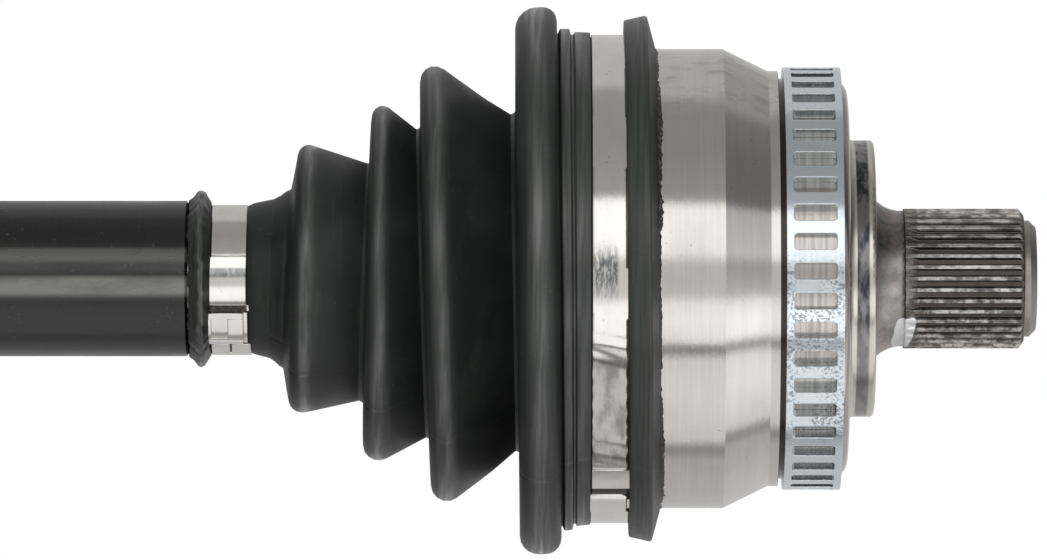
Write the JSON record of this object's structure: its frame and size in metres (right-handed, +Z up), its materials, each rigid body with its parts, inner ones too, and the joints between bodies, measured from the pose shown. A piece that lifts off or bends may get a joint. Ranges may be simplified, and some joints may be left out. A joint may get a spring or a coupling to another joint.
{
  "type": "drive shaft",
  "caption": "Half shaft with a splined ball joint at the wheel, a plunging tripod joint with a bolting flange at the gearbox, rubber gaiters and strip clamps.",
  "frame": {"origin": "centre of the face that seats on the wheel hub, on the axle line", "axes": "+X along the axle toward the wheel, out of the stub; +Z up"},
  "size_m": [0.5626, 0.117, 0.117],
  "materials": {
    "forged_steel": "machined and bare",
    "zinc_plate": "bright zinc plating",
    "bearing_steel": "ground and greased",
    "ball_steel": "polished",
    "spring_steel": "blued",
    "thrust_plastic": "moulded",
    "black_paint": "satin black paint",
    "boot_rubber": "satin",
    "clamp_steel": "bright stainless strip",
    "housing_steel": "forged, turned where it seats"
  },
  "bodies": {
    "wheel_bell": {"outer_joint": "forged_steel", "abs_ring": "zinc_plate", "outer_boot": "boot_rubber", "outer_boot_large_clamp": "clamp_steel"},
    "ball_cage": {"outer_cage": "bearing_steel", "ball_2": "ball_steel", "ball_5": "ball_steel"},
    "track_ball_1": {"ball_1": "ball_steel"},
    "track_ball_3": {"ball_3": "ball_steel"},
    "track_ball_4": {"ball_4": "ball_steel"},
    "track_ball_6": {"ball_6": "ball_steel"},
    "shaft": {"outer_race": "bearing_steel", "hub_circlip": "spring_steel", "thrust_ring": "thrust_plastic", "dished_spring": "spring_steel", "wheel_end_journal": "forged_steel", "shaft_tube": "black_paint", "gearbox_end_journal": "forged_steel", "outer_boot_small_clamp": "clamp_steel", "inner_boot_small_clamp": "clamp_steel", "spider_circlip": "spring_steel", "tripod_spider": "bearing_steel"},
    "tilt_ring_1": {"roller_ring_1": "bearing_steel", "needles_1": "ball_steel"},
    "tilt_ring_2": {"roller_ring_2": "bearing_steel", "needles_2": "ball_steel"},
    "tilt_ring_3": {"roller_ring_3": "bearing_steel", "needles_3": "ball_steel"},
    "track_roller_1": {"roller_1": "bearing_steel"},
    "track_roller_2": {"roller_2": "bearing_steel"},
    "track_roller_3": {"roller_3": "bearing_steel"},
    "gearbox_housing": {"tripod_housing": "housing_steel", "inner_boot": "boot_rubber", "inner_boot_large_clamp": "clamp_steel", "end_cover": "zinc_plate", "cover_seal": "boot_rubber"}
  },
  "joints": [
    {"name": "outer_bend", "type": "hinge", "parent": "wheel_bell", "child": "shaft", "pos_m": [-0.044, 0, 0], "axis": [0, 1, 0], "range_deg": [-45, 45], "deforming": ["outer_boot"]},
    {"name": "cage_tilt", "type": "hinge", "parent": "wheel_bell", "child": "ball_cage", "pos_m": [-0.044, 0, 0], "axis": [0, 1, 0], "range_deg": [-22.5, 22.5]},
    {"name": "ball_1_travel", "type": "hinge", "parent": "wheel_bell", "child": "track_ball_1", "pos_m": [-0.0475, 0, 0], "axis": [0, 0.866, -0.5], "range_deg": [-19.8, 19.8]},
    {"name": "ball_3_travel", "type": "hinge", "parent": "wheel_bell", "child": "track_ball_3", "pos_m": [-0.0475, 0, 0], "axis": [0, -0.866, -0.5], "range_deg": [-19.8, 19.8]},
    {"name": "ball_4_travel", "type": "hinge", "parent": "wheel_bell", "child": "track_ball_4", "pos_m": [-0.0475, 0, 0], "axis": [0, -0.866, 0.5], "range_deg": [-19.8, 19.8]},
    {"name": "ball_6_travel", "type": "hinge", "parent": "wheel_bell", "child": "track_ball_6", "pos_m": [-0.0475, 0, 0], "axis": [0, 0.866, 0.5], "range_deg": [-19.8, 19.8]},
    {"name": "inner_bend", "type": "hinge", "parent": "shaft", "child": "tilt_ring_1", "pos_m": [-0.48, 0, 0], "axis": [0, 1, 0], "range_deg": [-15, 15], "deforming": ["inner_boot"]},
    {"name": "plunge", "type": "slide", "parent": "tilt_ring_1", "child": "gearbox_housing", "axis": [1, 0, 0], "range_m": [-0.018, 0.018], "deforming": ["inner_boot"]},
    {"name": "roller_1_roll", "type": "hinge", "parent": "tilt_ring_1", "child": "track_roller_1", "pos_m": [-0.48, 0.025, 0], "axis": [0, 1, 0], "range_deg": [-55, 55]},
    {"name": "ring_2_tilt", "type": "hinge", "parent": "shaft", "child": "tilt_ring_2", "pos_m": [-0.48, -0.0125, -0.02165], "axis": [0, 1, 0], "range_deg": [-15, 15]},
    {"name": "roller_2_roll", "type": "hinge", "parent": "tilt_ring_2", "child": "track_roller_2", "pos_m": [-0.48, -0.0125, -0.02165], "axis": [0, -0.5, -0.866], "range_deg": [-55, 55]},
    {"name": "ring_3_tilt", "type": "hinge", "parent": "shaft", "child": "tilt_ring_3", "pos_m": [-0.48, -0.0125, 0.02165], "axis": [0, 1, 0], "range_deg": [-15, 15]},
    {"name": "roller_3_roll", "type": "hinge", "parent": "tilt_ring_3", "child": "track_roller_3", "pos_m": [-0.48, -0.0125, 0.02165], "axis": [0, -0.5, 0.866], "range_deg": [-55, 55]}
  ],
  "couplings": [
    {"joint": "cage_tilt", "follows": "outer_bend", "ratio": 0.5},
    {"joint": "ball_1_travel", "follows": "outer_bend", "ratio": 0.43853},
    {"joint": "ball_3_travel", "follows": "outer_bend", "ratio": -0.43853},
    {"joint": "ball_4_travel", "follows": "outer_bend", "ratio": -0.43853},
    {"joint": "ball_6_travel", "follows": "outer_bend", "ratio": 0.43853},
    {"joint": "roller_1_roll", "follows": "plunge", "rad_per_m": 52.632},
    {"joint": "ring_2_tilt", "follows": "inner_bend", "ratio": 1},
    {"joint": "roller_2_roll", "follows": "plunge", "rad_per_m": 52.632},
    {"joint": "ring_3_tilt", "follows": "inner_bend", "ratio": 1},
    {"joint": "roller_3_roll", "follows": "plunge", "rad_per_m": 52.632}
  ]
}
